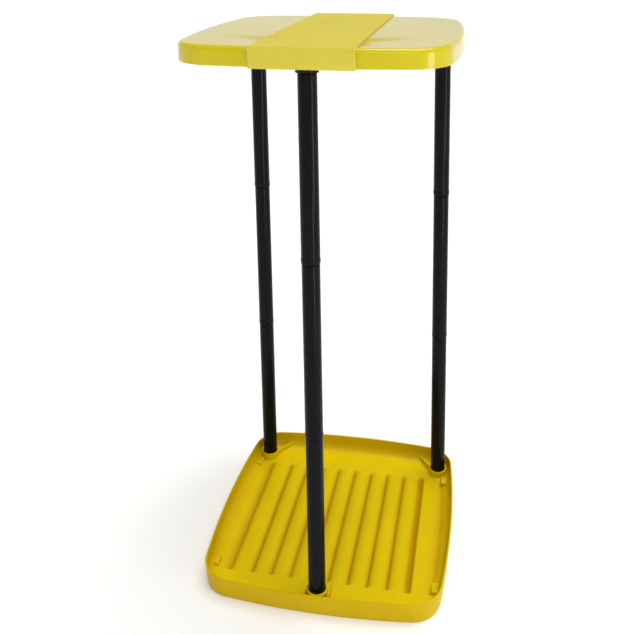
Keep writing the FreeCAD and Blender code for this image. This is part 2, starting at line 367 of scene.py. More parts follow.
def add_node(tree, kind, inputs=None, **settings):
    """One shader node with its settings, and its inputs as values or as other nodes' outputs."""
    node = tree.nodes.new("ShaderNode" + kind)
    for name, value in settings.items():
        setattr(node, name, value)
    for name, value in (inputs or {}).items():
        if isinstance(value, bpy.types.NodeSocket):
            tree.links.new(value, node.inputs[name])
        else:
            node.inputs[name].default_value = value
    return node


def new_finish(name):
    """Empty node material, and its node tree."""
    material = bpy.data.materials.get(name) or bpy.data.materials.new(name)
    material.use_nodes = True
    material.node_tree.nodes.clear()
    return material, material.node_tree


MATT_ROUGHNESS = 0.62


def moulded_polypropylene(name, colour, matt_and_shade_colour, gloss_low, gloss_high, level):
    """Gloss polypropylene from a polished mould: clean colour, a faint orange peel, soft
    cloudy changes of gloss from handling, and a duller gloss on worn edges. Where the mould
    is spark-eroded, the skin is matt and of another shade. In the tray's valleys and up its
    cove and walls the same blend is painted shade, a deeper colour with a duller gloss.
    The matt attribute says how much."""
    material, tree = new_finish(name)
    place = add_node(tree, "TexCoord").outputs["Object"]
    # Flow clouds in the melt, about 60 mm across
    flow = add_node(tree, "TexNoise",
                    {"Vector": place, "Scale": 1 / (60 * MM), "Detail": 3.0, "Roughness": 0.5})
    shade = add_node(tree, "MapRange",
                     {"Value": flow.outputs["Fac"], "From Min": 0.3, "From Max": 0.7,
                      "To Min": 0.97, "To Max": 1.03})
    # Handling marks, about 12 mm across, with hairline scuffs inside them
    marks = add_node(tree, "TexNoise",
                     {"Vector": place, "Scale": 1 / (12 * MM), "Detail": 6.0, "Roughness": 0.65})
    gloss = add_node(tree, "MapRange",
                     {"Value": marks.outputs["Fac"], "From Min": 0.3, "From Max": 0.7,
                      "To Min": gloss_low, "To Max": gloss_high})
    # Real matt band on the lid; painted shade in the tray's valleys and up its cove and walls
    matt_and_painted_shade = add_node(tree, "Attribute", attribute_name="matt_and_painted_shade").outputs["Fac"]
    worn = add_node(tree, "Attribute", attribute_name="worn").outputs["Fac"]
    # Second colour: the paler matt yellow of the lid's band, or the painted-shade yellow of the
    # tray
    base = add_node(tree, "Mix",
                    {"Factor": matt_and_painted_shade, "A": linear(colour), "B": linear(matt_and_shade_colour)},
                    data_type="RGBA")
    base_colour = [socket for socket in base.outputs if socket.type == "RGBA"][0]
    clouded = add_node(tree, "HueSaturation",
                       {"Color": base_colour, "Value": shade.outputs["Result"]})
    roughness = add_node(tree, "MapRange",
                         {"Value": matt_and_painted_shade, "To Min": gloss.outputs["Result"],
                          "To Max": MATT_ROUGHNESS})
    dulled = add_node(tree, "Math",
                      {0: worn, 1: 0.12, 2: roughness.outputs["Result"]},
                      operation="MULTIPLY_ADD")
    # Orange peel, 2.5 mm across so that it shows, and only hundredths of a millimetre deep
    peel = add_node(tree, "TexNoise",
                    {"Vector": place, "Scale": 1 / (2.5 * MM), "Detail": 2.0})
    bump = add_node(tree, "Bump",
                    {"Height": peel.outputs["Fac"], "Strength": 0.25, "Distance": 0.03 * MM})
    shader = add_node(tree, "BsdfPrincipled",
                      {"Base Color": clouded.outputs["Color"], "Roughness": dulled.outputs[0],
                       "Normal": bump.outputs["Normal"], "IOR": 1.49,
                       "Specular IOR Level": level})
    add_node(tree, "OutputMaterial", {"Surface": shader.outputs[0]})
    return material


def extruded_black(name, colour):
    """Gloss black polypropylene tube: fine draw lines along the tube, handling haze and a
    little pale dust in the haze."""
    material, tree = new_finish(name)
    place = add_node(tree, "TexCoord").outputs["Object"]
    # Draw lines 1.5 mm apart round the tube and long up it
    drawn = add_node(tree, "Mapping",
                     {"Vector": place, "Scale": (1 / (1.5 * MM), 1 / (1.5 * MM), 1 / (90 * MM))})
    lines = add_node(tree, "TexNoise",
                     {"Vector": drawn.outputs[0], "Scale": 1.0, "Detail": 2.0})
    haze = add_node(tree, "TexNoise",
                    {"Vector": place, "Scale": 1 / (25 * MM), "Detail": 5.0, "Roughness": 0.6})
    gloss = add_node(tree, "MapRange",
                     {"Value": haze.outputs["Fac"], "From Min": 0.3, "From Max": 0.7,
                      "To Min": 0.13, "To Max": 0.22})
    dust = add_node(tree, "MapRange",
                    {"Value": haze.outputs["Fac"], "From Min": 0.35, "From Max": 0.75,
                     "To Min": 1.0, "To Max": 1.35})
    dusty = add_node(tree, "HueSaturation",
                     {"Color": linear(colour), "Value": dust.outputs["Result"]})
    bump = add_node(tree, "Bump",
                    {"Height": lines.outputs["Fac"], "Strength": 0.2, "Distance": 0.03 * MM})
    shader = add_node(tree, "BsdfPrincipled",
                      {"Base Color": dusty.outputs["Color"], "Roughness": gloss.outputs["Result"],
                       "Normal": bump.outputs["Normal"], "IOR": 1.49,
                       "Specular IOR Level": 0.1})
    add_node(tree, "OutputMaterial", {"Surface": shader.outputs[0]})
    return material


def drawn_steel(name, colour):
    """Bright drawn steel pin: rings from its turning every 0.4 mm along the axle."""
    material, tree = new_finish(name)
    place = add_node(tree, "TexCoord").outputs["Object"]
    rings = add_node(tree, "TexWave",
                     {"Vector": place, "Scale": 0.5 / (0.4 * MM) / (2 * math.pi),
                      "Distortion": 1.5, "Detail": 2.0}, bands_direction="X")
    gloss = add_node(tree, "MapRange",
                     {"Value": rings.outputs["Fac"], "To Min": 0.24, "To Max": 0.38})
    bump = add_node(tree, "Bump",
                    {"Height": rings.outputs["Fac"], "Strength": 0.3, "Distance": 0.01 * MM})
    shader = add_node(tree, "BsdfPrincipled",
                      {"Base Color": linear(colour), "Metallic": 1.0,
                       "Roughness": gloss.outputs["Result"], "Normal": bump.outputs["Normal"]})
    add_node(tree, "OutputMaterial", {"Surface": shader.outputs[0]})
    return material


def matt_floor(name, colour):
    """Pale matt paper of the stage."""
    material, tree = new_finish(name)
    place = add_node(tree, "TexCoord").outputs["Object"]
    fibre = add_node(tree, "TexNoise", {"Vector": place, "Scale": 1 / (8 * MM)})
    gloss = add_node(tree, "MapRange",
                     {"Value": fibre.outputs["Fac"], "To Min": 0.8, "To Max": 0.95})
    shader = add_node(tree, "BsdfPrincipled",
                      {"Base Color": linear(colour), "Roughness": gloss.outputs["Result"]})
    add_node(tree, "OutputMaterial", {"Surface": shader.outputs[0]})
    return material


# ---------------- tray

TRAY_RECT = (166 * MM, 150 * MM)
GROOVE_COUNT = 10
PANEL_CENTRE_X = -7 * MM
PANEL_ENDS = (-139 * MM, 129 * MM)
LEFT_VALLEY, RIGHT_VALLEY = -158 * MM, 141.5 * MM
BANK_RUN = 5.5 * MM
STRIP_RUN = 24 * MM
VALLEY_END = 9 * MM
GROUND_GAP = 0.4 * MM
# Drops below the crowns, as shares of the groove depth
RIDGE_BOW, RIDGE_EDGE = 0.85, 0.35
DEEPEST = 1.45
LEFT_STRIP_DROP, RIGHT_STRIP_DROP = 1.1, 0.8
OUTER_FLANK = 0.3
# Share of painted shade and duller gloss on the wall, and where on the cove it starts and how far
# it takes to build up
OUTLINE_POWER = 8
WALL_SHADE_AND_MATT = 0.4
COVE_START, COVE_SPAN = 0.97, 0.09
# Mould edges, and the parts that stand on the floor
RIM_EDGE, FOOT_EDGE = 1.2 * MM, 0.6 * MM
SOCKET_TOPS = {"front": 36 * MM, "left": 22 * MM, "right": 22 * MM}
SOCKET_RADIUS = 17.4 * MM
FIN_X, FIN_THICKNESS = 18.6 * MM, 2 * MM
FIN_BACK, FIN_LOW, FIN_TOP = -150 * MM, 12 * MM, 30 * MM
BRACE_START, BRACE_END = (160 * MM, 157 * MM), (128.5 * MM, 198.5 * MM)
BRACE_TOP, BRACE_THICKNESS = 19 * MM, 3 * MM
BLOCK_SIZE, BLOCK_TOP = (12 * MM, 20 * MM), 16 * MM
BLOCK_CENTRES = ((184.5 * MM, -135 * MM), (184.5 * MM, 130 * MM))


def ridge_drop(x, y, sizes):
    """Drop of the tray's floor below its ridges' crowns, at some places.

    The panel is reeded: each ridge is a parabola, with an eighth power added near its edges,
    that falls to a sharp valley half a pitch away. The strips beside the panel fall as a
    parabola over a longer run, to a valley with a short steep bank on its other side. Past
    the ends of the valleys the drop fades out in a parabola, which gives them round ends.
    """
    half = sizes.groove_pitch / 2
    order = np.arange(1, GROOVE_COUNT) - GROOVE_COUNT / 2
    crests = PANEL_CENTRE_X + order * sizes.groove_pitch
    from_crest = np.abs(x[..., None] - crests).min(axis=-1)
    reach = from_crest / half
    drop = RIDGE_BOW * reach ** 2 + RIDGE_EDGE * reach ** 8
    first = crests[0]
    drop = np.minimum(np.where(x < first, OUTER_FLANK * drop, drop), DEEPEST)
    left_strip = np.clip((x - LEFT_VALLEY) / STRIP_RUN + 1, 0, 1) ** 2 * LEFT_STRIP_DROP
    left_bank = np.clip((x - LEFT_VALLEY) / BANK_RUN, 0, 1)
    drop = np.where(x < LEFT_VALLEY, left_strip, np.where(
        x < LEFT_VALLEY + BANK_RUN,
        LEFT_STRIP_DROP + (OUTER_FLANK - LEFT_STRIP_DROP) * left_bank, drop))
    right_bank = np.clip((x - RIGHT_VALLEY) / BANK_RUN, 0, 1)
    right_run = np.clip((x - RIGHT_VALLEY - BANK_RUN) / (1.5 * STRIP_RUN), 0, 1)
    right_strip = RIGHT_STRIP_DROP * right_run ** 2
    drop = np.where(x > RIGHT_VALLEY, DEEPEST * (1 - right_bank) + right_strip, drop)
    past_end = np.maximum(np.maximum(PANEL_ENDS[0] - y, y - PANEL_ENDS[1]), 0)
    fade = np.clip(1 - (past_end / VALLEY_END) ** 2, 0, 1)
    return sizes.groove_depth * drop * fade


def floor_height(x, y, sizes):
    """Height of the tray's floor at some places."""
    return sizes.floor - ridge_drop(x, y, sizes)


def underside_height(x, y, sizes):
    """Height of the floor's underside: a skin below the top, and clear of the ground."""
    return np.maximum(floor_height(x, y, sizes) - sizes.skin, GROUND_GAP)


def valley_painted_shade(points, sizes):
    """Painted shade in the valleys: how deep in a valley each point lies, from 0 on a crown
    to 1, by the power one and a half of the floor's drop there."""
    depth = ridge_drop(points[:, 0], points[:, 1], sizes) / sizes.groove_depth
    return np.clip(depth, 0, 1) ** 1.5 * (points[:, 2] < sizes.floor + 0.01 * MM)


def wall_painted_shade(points, outline, sizes):
    """Painted shade at each point, by how far it is up the cove and the wall: 0 on the flat floor,
    the wall's share on the wall.

    The outline is nearly a superellipse, and the floor ends where its power sum reaches 1 for
    an outline smaller by the wall and the cove.
    """
    inset = sizes.wall + sizes.cove
    across = np.abs(points[:, 0]) / (outline[0] - inset)
    along = np.abs(points[:, 1]) / (outline[1] - inset)
    spread = (across ** OUTLINE_POWER + along ** OUTLINE_POWER) ** (1 / OUTLINE_POWER)
    return WALL_SHADE_AND_MATT * np.clip((spread - COVE_START) / COVE_SPAN, 0, 1)


def plate_rows(thickness, edge):
    """Insets and offsets of the rows round a plate's two softened edges, face to face."""
    ramp = np.array([0, 0.3, 1]) * edge
    return zip([*ramp[::-1], *ramp], [*ramp, *(thickness - ramp[::-1])])


def slab(corners, side, origin, thickness, edge=0.4 * MM):
    """Upright plate: a rounded outline in a plane, carried across its thickness, with softened
    edges and its two faces closed to their middles."""
    loop = rounded(corners, 2 * edge, 3)
    middle = loop.mean(axis=0)
    inward = middle - loop
    inward /= np.linalg.norm(inward, axis=1)[:, None]
    side = np.array(side, float)
    across = np.array([-side[1], side[0], 0.0])
    closed = np.broadcast_to(middle, loop.shape)
    rows = ((closed, 0.0), *((loop + inward * inset, offset)
                             for inset, offset in plate_rows(thickness, edge)),
            (closed, thickness))
    layers = []
    for flat, offset in rows:
        layers.append(np.array(origin) + flat[:, :1] * side
                      + flat[:, 1:] * np.array([0.0, 0.0, 1.0]) + across * offset)
    return np.array(layers)


def moulded_block(x, y, size, bottom, top, edge=2 * MM):
    """Block that stands on the floor: a rounded rectangle carried up, its top edge rolled
    over in a quarter circle."""
    width, depth = size
    loop = rounded([(x - width / 2, y - depth / 2), (x + width / 2, y - depth / 2),
                    (x + width / 2, y + depth / 2), (x - width / 2, y + depth / 2)], edge, 5)
    middle = np.array([x, y])
    sine, cosine = arc_steps(6)
    share = np.concatenate([[0, 1], 1 - (1 - cosine) * 2 * edge / width, [0]])
    level = np.concatenate([[bottom, bottom], top - edge + edge * sine, [top]])
    flat = middle + (loop - middle)[None] * share[:, None, None]
    return np.concatenate([flat, np.broadcast_to(level[:, None, None], flat.shape[:2] + (1,))],
                          axis=2)


def socket(pole, draw_in):
    """Moulded ring round a pole's foot, with a rolled lip.

    Two circles are carried up: the outside stays upright, and the bore follows the pole's
    leaning axis, so each row's centre is the foot plus the lean times its height.
    """
    foot, direction = pole_axis(pole, draw_in)
    top = SOCKET_TOPS[pole]
    bore = FOOT_RADII[0] + LIP_PROUD + FIT
    low = JOINT_HEIGHTS[0]
    profile = rounded([(bore, low), (bore, top), (SOCKET_RADIUS, top), (SOCKET_RADIUS, low)],
                      1.1 * MM, 5)
    ring = turned(profile, foot, (0, 0, 1), 64)
    middle = (bore + SOCKET_RADIUS) / 2
    inside = np.clip((middle - profile[:, 0]) / (middle - bore), 0, 1)
    lean = direction[:2] / direction[2]
    ring[..., :2] += (inside * profile[:, 1])[:, None, None] * lean
    return ring


class BAGHOLDER_OT_tray(bpy.types.Operator):
    """Build the moulded tray with its grooves, sockets, fins, ribs and blocks"""

    bl_idname = "bagholder.tray"
    bl_label = "Tray"

    def execute(self, context):
        sizes = context.scene.bag_holder_tray
        half_width, half_depth, height = TRAY_BOX[1]
        outline = (half_width, half_depth, sizes.side_arc, sizes.end_arc, sizes.corner)
        xs = np.linspace(-TRAY_RECT[0], TRAY_RECT[0], 195)
        ys = np.concatenate([np.linspace(-TRAY_RECT[1], -126 * MM, 17)[:-1],
                             np.linspace(-126 * MM, 116 * MM, 25)[:-1],
                             np.linspace(116 * MM, TRAY_RECT[1], 24)])
        ring, normals = outline_ring(outline, xs, ys, (140 * MM, 116 * MM))
        border = border_of(xs, ys)

        sine, cosine = arc_steps(12)
        cove_middle = (sizes.wall + sizes.cove, sizes.floor + sizes.cove)
        cove = [(cove_middle[0] - sizes.cove * c, cove_middle[1] - sizes.cove * s)
                for s, c in zip(sine, cosine)]
        under_radius = sizes.cove + sizes.skin
        skirt_inset = sizes.draft + sizes.skin
        turn = math.acos((cove_middle[0] - skirt_inset) / under_radius)
        under = [(cove_middle[0] - under_radius * math.cos(a),
                  cove_middle[1] - under_radius * math.sin(a))
                 for a in np.linspace(turn, math.pi / 2, 8)]
        rim = rounded([(sizes.draft, 0.0), (0.0, height), (sizes.wall, height),
                       (sizes.wall, cove[0][1])], RIM_EDGE, 6, closed=False)[6:-6]
        foot = rounded([(skirt_inset, 16 * MM), (skirt_inset, 0.0), (sizes.draft, 0.0),
                        (0.0, height)], FOOT_EDGE, 4, closed=False)[4:-4]
        section = [*under[::-1], *foot, *rim, *cove]
        shell = swept(ring, normals, section)
        inset = np.array(section)[:, :1]
        sunk_share = np.clip((inset - sizes.wall) / sizes.cove, 0, 1) ** 2
        shell[..., 2] -= ridge_drop(shell[..., 0], shell[..., 1], sizes) * sunk_share

        # The floor and its underside: zones from the cove to the grid, and the grid itself
        inner, outer_under = shell[-1, :, :2], shell[0, :, :2]
        share = np.linspace(0, 1, 7)[:, None, None]
        panel = np.dstack(np.meshgrid(xs, ys, indexing="ij"))
        surfaces = ((inner + (border - inner) * share, floor_height, True),
                    (outer_under + (border - outer_under) * share, underside_height, True),
                    (panel, floor_height, False), (panel, underside_height, False))
        grids = [(shell, False, True)]
        grids += [(np.dstack([flat, height(flat[..., 0], flat[..., 1], sizes)]), False, wrap)
                  for flat, height, wrap in surfaces]

        sunk = sizes.floor - sizes.skin / 2
        fin_front = -half_depth + sizes.wall / 2
        fin = [(fin_front, sunk), (FIN_BACK, sunk), (FIN_BACK, FIN_LOW),
               (-half_depth + sizes.cove, FIN_TOP), (fin_front, FIN_TOP)]
        brace_run = np.subtract(BRACE_END, BRACE_START)
        reach = np.linalg.norm(brace_run)
        brace = [(0.0, sunk), (reach, sunk), (reach, BRACE_TOP), (0.0, BRACE_TOP)]
        along = brace_run / reach
        for sign in (1, -1):
            fin_side = (sign * FIN_X + FIN_THICKNESS / 2, 0, 0)
            grids.append((slab(fin, (0, 1, 0), fin_side, FIN_THICKNESS), False, True))
            start = np.array([sign * BRACE_START[0], BRACE_START[1], 0])
            side = (sign * along[0], along[1], 0)
            shift = np.array([side[1], -side[0], 0]) * BRACE_THICKNESS / 2
            grids.append((slab(brace, side, start + shift, BRACE_THICKNESS), False, True))
            for x, y in BLOCK_CENTRES:
                grids.append((moulded_block(sign * x, y, BLOCK_SIZE, sunk, BLOCK_TOP),
                              False, True))
        draw_in = context.scene.bag_holder_poles.draw_in
        grids += [(socket(pole, draw_in), True, True) for pole in POLES]

        colours = context.scene.bag_holder_colours
        finish = moulded_polypropylene("yellow_polypropylene_tray", colours.tray_yellow,
                                       colours.painted_shade_yellow, 0.3, 0.42, 0.09)
        worn_band = 1.5 * MM
        piece = finished_piece("tray", grids, "base_tray", finish, {
            "worn": lambda p: np.clip((p[:, 2] - height + worn_band) / worn_band, 0, 1),
            # Painted shade: a deeper yellow and duller gloss in the valleys and up the cove and
            # walls, none on the crowns
            "matt_and_painted_shade": lambda p: np.maximum(valley_painted_shade(p, sizes), wall_painted_shade(p, outline, sizes)),
        })
        return {"FINISHED"}


# ---------------- poles

class BAGHOLDER_OT_poles(bpy.types.Operator):
    """Build the nine push-fit tubes of the three poles"""

    bl_idname = "bagholder.poles"
    bl_label = "Pole tubes"

    def execute(self, context):
        sizes = context.scene.bag_holder_poles
        finish = extruded_black("black_polypropylene_tube",
                                context.scene.bag_holder_colours.tube_black)
        for pole in POLES:
            foot, direction = pole_axis(pole, sizes.draw_in)
            for index, section in enumerate(SECTIONS):
                low, high = JOINT_HEIGHTS[index:index + 2]
                length = (high - low) / direction[2]
                radius = FOOT_RADII[index]
                head = radius - sizes.taper
                inner = sizes.spigot - sizes.spigot_wall
                bore = sizes.spigot + FIT
                top = length + sizes.spigot_length
                lip = radius + sizes.lip
                profile = rounded([
                    (bore, 0.0), (lip - 0.3 * MM, 0.0), (lip, 0.8 * MM),
                    (lip, sizes.lip_height - 0.8 * MM), (radius, sizes.lip_height),
                    (head, length - sizes.shoulder), (head - sizes.shoulder, length),
                    (sizes.spigot, length), (sizes.spigot, top), (inner, top),
                    (inner, length), (bore, length - 4 * MM)], 0.4 * MM, 3)
                name = f"{pole}_pole_{section}_tube"
                grid = turned(profile, foot + direction * (low / direction[2]), direction)
                piece = finished_piece(name + "_skin", [(grid, True, True)], name, finish)
        return {"FINISHED"}


# ---------------- hoop and pins

HINGE_Y = (PIN_BOX[0].y + PIN_BOX[1].y) / 2
HINGE_Z = (PIN_BOX[0].z + PIN_BOX[1].z) / 2
EYE_RADIUS = 5 * MM
PIN_RADIUS = PIN_BOX[1].z - HINGE_Z
EAR_THICKNESS, EAR_FIT = 6 * MM, 0.02 * MM
LUG_OFFSET, LUG_THICKNESS, LUG_FIT = 6.4 * MM, 7 * MM, 0.06 * MM


def eyed_plate(x, thickness, hole, reach, upright):
    """Hinge eye: a plate with a pin hole, a half circle on one side of the pin and straight
    sides as far as its reach on the other."""
    angle = np.arange(72) * (2 * math.pi / 72)
    ahead, aside = np.cos(angle), np.sin(angle)
    straight = np.minimum(EYE_RADIUS / np.maximum(np.abs(aside), 1e-6),
                          reach / np.maximum(ahead, 1e-6))
    outer = np.where(ahead > 0, straight, EYE_RADIUS)
    rows = ((hole, 0.0), *((outer - inset, offset)
                           for inset, offset in plate_rows(thickness, 0.5 * MM)),
            (hole, thickness))
    layers = []
    for radius, offset in rows:
        forward, sideways = radius * ahead, radius * aside
        y = HINGE_Y + (sideways if upright else -forward)
        z = HINGE_Z + (forward if upright else sideways)
        layers.append(np.stack([np.full(len(angle), x + offset), y, z], axis=1))
    return np.array(layers)


class BAGHOLDER_OT_hoop(bpy.types.Operator):
    """Build the hoop with its flange, pole collars and hinge ears, and the two pins"""

    bl_idname = "bagholder.hoop"
    bl_label = "Bag hoop and pins"

    def execute(self, context):
        scene = context.scene
        colours, sizes = scene.bag_holder_colours, scene.bag_holder_hoop
        low, top, wall, flange = sizes.base, HOOP_BOX[1].z, sizes.wall, sizes.flange
        places = np.linspace(-110 * MM, 110 * MM, 45)
        outline = (sizes.half_width, sizes.half_depth, sizes.side_arc, sizes.end_arc,
                   sizes.corner)
        ring, normals = outline_ring(outline, places, places, (60 * MM, 60 * MM))
        section = rounded([(wall, low), (-flange, low), (-flange, low + wall), (0, low + wall),
                           (0, top), (wall, top)], 0.7 * MM, 4)
        grids = [(swept(ring, normals, section), True, True)]
        for pole in POLES:
            foot, direction = pole_axis(pole, scene.bag_holder_poles.draw_in)
            seat = foot + direction * (JOINT_HEIGHTS[-1] / direction[2])
            radius, rise = sizes.collar, sizes.collar_height
            bore = scene.bag_holder_poles.spigot + FIT
            depth = scene.bag_holder_poles.spigot_length + 0.1 * MM
            profile = capped([(0.2 * MM, rise), (radius, rise), (radius, 0.0), (bore, 0.0),
                              (bore, depth), (0.2 * MM, depth)], 0.8 * MM)
            grids.append((turned(profile, seat, direction), False, True))
        ear_x = PIN_BOX[0].x
        arm = HINGE_Y - (sizes.half_depth - wall)
        for x in (ear_x, -ear_x - EAR_THICKNESS):
            ear = eyed_plate(x, EAR_THICKNESS, PIN_RADIUS + EAR_FIT, arm, False)
            grids.append((ear, True, True))
        finish = moulded_polypropylene("black_polypropylene_hoop", colours.tube_black,
                                       colours.tube_black, 0.22, 0.32, 0.13)
        piece = finished_piece("hoop", grids, "bag_hoop", finish, {
            "worn": lambda p: np.clip((p[:, 2] - top + 1 * MM) / (1 * MM), 0, 1),
            "matt_and_painted_shade": lambda p: np.zeros(len(p)),
        })

        steel = drawn_steel("drawn_steel_pin", colours.pin_steel)
        length = PIN_BOX[1].x - PIN_BOX[0].x
        profile = capped([(0.1 * MM, 0.0), (PIN_RADIUS, 0.0), (PIN_RADIUS, length),
                          (0.1 * MM, length)], 0.4 * MM)
        for side, sign in (("right", 1), ("left", -1)):
            grid = turned(profile, (sign * ear_x, HINGE_Y, HINGE_Z), (sign, 0, 0), 32)
            piece = finished_piece(side + "_pin", [(grid, False, True)], side + "_hinge_pin",
                                   steel)
        return {"FINISHED"}


# ---------------- lid

LID_RECT = (112 * MM, 120 * MM)
STEP_Y, STEP_RUN, STEP_RETURN = -80 * MM, 34 * MM, 56 * MM
STEP_REACH, STEP_DEPTH = 122 * MM, 2.6 * MM


def band_columns(sizes):
    """Places across the lid, each with its lift above the panels, its edge radius and whether
    it lies on the raised band.

    At each side of the band the same place serves for the foot of the step and for the start
    of its rounded edge, which turns through a quarter circle on to the band's top.
    """
    sine, cosine = arc_steps(6)
    edge = sizes.band_edge
    step_x = sizes.band_half_width - edge * (1 - cosine)
    step_lift = sizes.band_rise - edge + edge * sine
    band_x = np.linspace(sizes.band_half_width - edge, 0, 12)[1:]
    panel_x = np.linspace(LID_RECT[0], sizes.band_half_width, 26)
    plain, flat = np.ones(len(panel_x)), np.ones(len(band_x))
    x = np.concatenate([panel_x, step_x, band_x])
    lift = np.concatenate([0 * plain, step_lift, sizes.band_rise * flat])
    radius = np.concatenate([sizes.edge * plain, edge * sine, edge * flat])
    on_band = np.concatenate([0 * plain, np.ones(len(step_x)), flat])
    return [np.concatenate([sign * values, values[-2::-1]])
            for sign, values in ((-1, x), (1, lift), (1, radius), (1, on_band))]


def panel_settle(points, sizes, top):
    """Sink of the two side panels: a shallow trough beside the band and near the front.

    From back to front the skin goes down a smooth cubic step and comes slowly up another, and
    the trough is shallower and further back away from the band.
    """
    x, y, z = np.moveaxis(points, -1, 0)
    away = np.abs(x) - sizes.band_half_width
    start = STEP_Y + 0.45 * away
    down, up = (np.clip(run, 0, 1) for run in ((start - y) / STEP_RUN,
                                               (start - STEP_RUN - y) / STEP_RETURN))
    trough = down ** 2 * (3 - 2 * down) - up ** 2 * (3 - 2 * up)
    beside = np.clip(1 - away / (STEP_REACH - sizes.band_half_width), 0, 1) ** 0.7
    skin = (away > -1e-6) & (np.abs(z - top) < sizes.edge + 1e-6)
    upper = np.clip((z - top + sizes.edge) / sizes.edge, 0, 1)
    return STEP_DEPTH * trough * beside * upper * skin


class BAGHOLDER_OT_lid(bpy.types.Operator):
    """Build the lid with its raised matt band and its two hinge lugs"""

    bl_idname = "bagholder.lid"
    bl_label = "Lid"

    def execute(self, context):
        sizes = context.scene.bag_holder_lid
        colours = context.scene.bag_holder_colours
        half_width = LID_BOX[1].x
        half_depth = LID_BOX[1].y - sizes.band_overhang
        bottom, top = LID_BOX[0].z, LID_TOP
        outline = (half_width, half_depth, sizes.arc, sizes.arc, sizes.corner)
        xs, lift, radius, on_band = band_columns(sizes)
        ys = np.linspace(-LID_RECT[1], LID_RECT[1], 97)
        ring, normals = outline_ring(outline, xs, ys, (66 * MM, 60 * MM))
        border = border_of(xs, ys)

        # Each ring place takes the values of its column; the two sides are plain panel
        spare = np.ones(len(ys) - 1)
        rear_and_front = [np.concatenate([v[:0:-1], v[:-1]]) for v in (lift, radius, on_band)]
        half = len(xs) - 1
        lift_ring, radius_ring, band_ring = (
            np.concatenate([plain * spare, values[:half], plain * spare, values[half:]])
            for plain, values in zip((0, sizes.edge, 0), rear_and_front))
        half_band = sizes.band_half_width
        near = np.clip((np.abs(ring[:, 0]) - half_band) / (30 * MM), 0, 1)
        on_end = np.abs(normals[:, 1]) > np.abs(normals[:, 0])
        normals[:, 0] = np.where(on_end, normals[:, 0] * near, normals[:, 0])
        banded = band_ring > 0
        front_y = half_depth + sizes.band_overhang - sizes.band_edge + radius_ring
        outer = ring.copy()
        outer[:, 1] = np.where(banded, np.sign(ring[:, 1]) * front_y, ring[:, 1])
        inner = ring - normals * sizes.wall
        foot_of_step = np.abs(np.abs(ring[:, 0]) - half_band) < 1e-6
        within = banded | (foot_of_step & on_end)
        clipped = np.clip(ring[:, 0], -half_band + sizes.wall, half_band - sizes.wall)
        inner[:, 0] = np.where(within, clipped, inner[:, 0])
        inner_end = half_depth + sizes.band_overhang - sizes.wall
        inner[:, 1] = np.where(banded, np.sign(ring[:, 1]) * inner_end, inner[:, 1])
        under_border = border.copy()
        under_border[:, 0] = np.where(within, clipped, border[:, 0])

        def level(flat, height):
            """Ring of flat places at one height or at a height for each."""
            return np.column_stack([flat, np.broadcast_to(height, len(flat))])

        under_top = top - sizes.wall
        lip = 0.4 * MM
        sine, cosine = arc_steps(8)
        draft = np.where(banded, 0.0, sizes.draft)
        shoulder = top + lift_ring - radius_ring
        rise = shoulder - bottom
        rows = [level(inner, under_top), level(inner, bottom + lip),
                level(inner + normals * lip, bottom), level(outer - normals * lip, bottom)]
        for share in (0.03, 0.35, 0.7):
            rows.append(level(outer - normals * (draft * share)[:, None],
                              bottom + rise * share))
        for s, c in zip(sine, cosine):
            inset = draft + radius_ring * (1 - c)
            rows.append(level(outer - normals * inset[:, None], shoulder + radius_ring * s))
        rim = rows[-1][:, :2]
        for share in (0.12, 0.4, 0.7, 1.0):
            rows.append(level(rim + (border - rim) * share, top + lift_ring))
        shell = np.array(rows)
        shell[4:, :, 2] -= panel_settle(shell[4:], sizes, top)
        under_zone = np.array([level(under_border, under_top), level(inner, under_top)])

        gx, gy = np.meshgrid(xs, ys, indexing="ij")
        panel = np.dstack([gx, gy, np.broadcast_to(top + lift[:, None], gx.shape)])
        panel[..., 2] -= panel_settle(panel, sizes, top)
        under_x = np.where(np.abs(xs) <= half_band + 1e-9,
                           np.clip(xs, -half_band + sizes.wall, half_band - sizes.wall), xs)
        ux, uy = np.meshgrid(under_x, ys, indexing="ij")
        panel_under = np.dstack([ux, uy, np.full(ux.shape, under_top)])
        grids = [(shell, False, True), (under_zone, False, True), (panel, False, False),
                 (panel_under, False, False)]
        lug_x = PIN_BOX[0].x + LUG_OFFSET
        stem = top - sizes.wall / 2 - HINGE_Z
        for x in (lug_x, -lug_x - LUG_THICKNESS):
            lug = eyed_plate(x, LUG_THICKNESS, PIN_RADIUS + LUG_FIT, stem, True)
            grids.append((lug, True, True))

        finish = moulded_polypropylene("yellow_polypropylene_lid", colours.lid_yellow,
                                       colours.band_yellow, 0.08, 0.14, 0.36)
        limit = half_band + 0.01 * MM
        piece = finished_piece("lid_cap", grids, "lid", finish, {
            "worn": lambda p: (p[:, 2] < bottom + 1 * MM) * 1.0,
            "matt_and_painted_shade": lambda p: ((np.abs(p[:, 0]) < limit) * (p[:, 2] > top + 0.1 * MM)
                               + (np.abs(p[:, 1]) > half_depth + 1 * MM) > 0) * 1.0,
        })
        return {"FINISHED"}


# ---------------- stage

FLOOR_REACH = 60.0
VIEW_ANGLES = (10.159, 25.089, -0.411)
VIEW_PLACE = (0.1994, -1.0255, 0.9783)
VIEW_LENS = 42.254
VIEW_SHIFT = (-0.0442, -0.0584)


def soft_light(name, place, target, size, power):
    """Soft box: a rectangle of white light that faces its target."""
    data = bpy.data.lights.new(name, "AREA")
    data.shape = "RECTANGLE"
    data.size, data.size_y = size
    data.energy = power
    light = add_object(name, data)
    facing = (Vector(target) - Vector(place)).to_track_quat("-Z", "Y")
    light.matrix_world = Matrix.Translation(place) @ facing.to_matrix().to_4x4()
    light.visible_camera = False


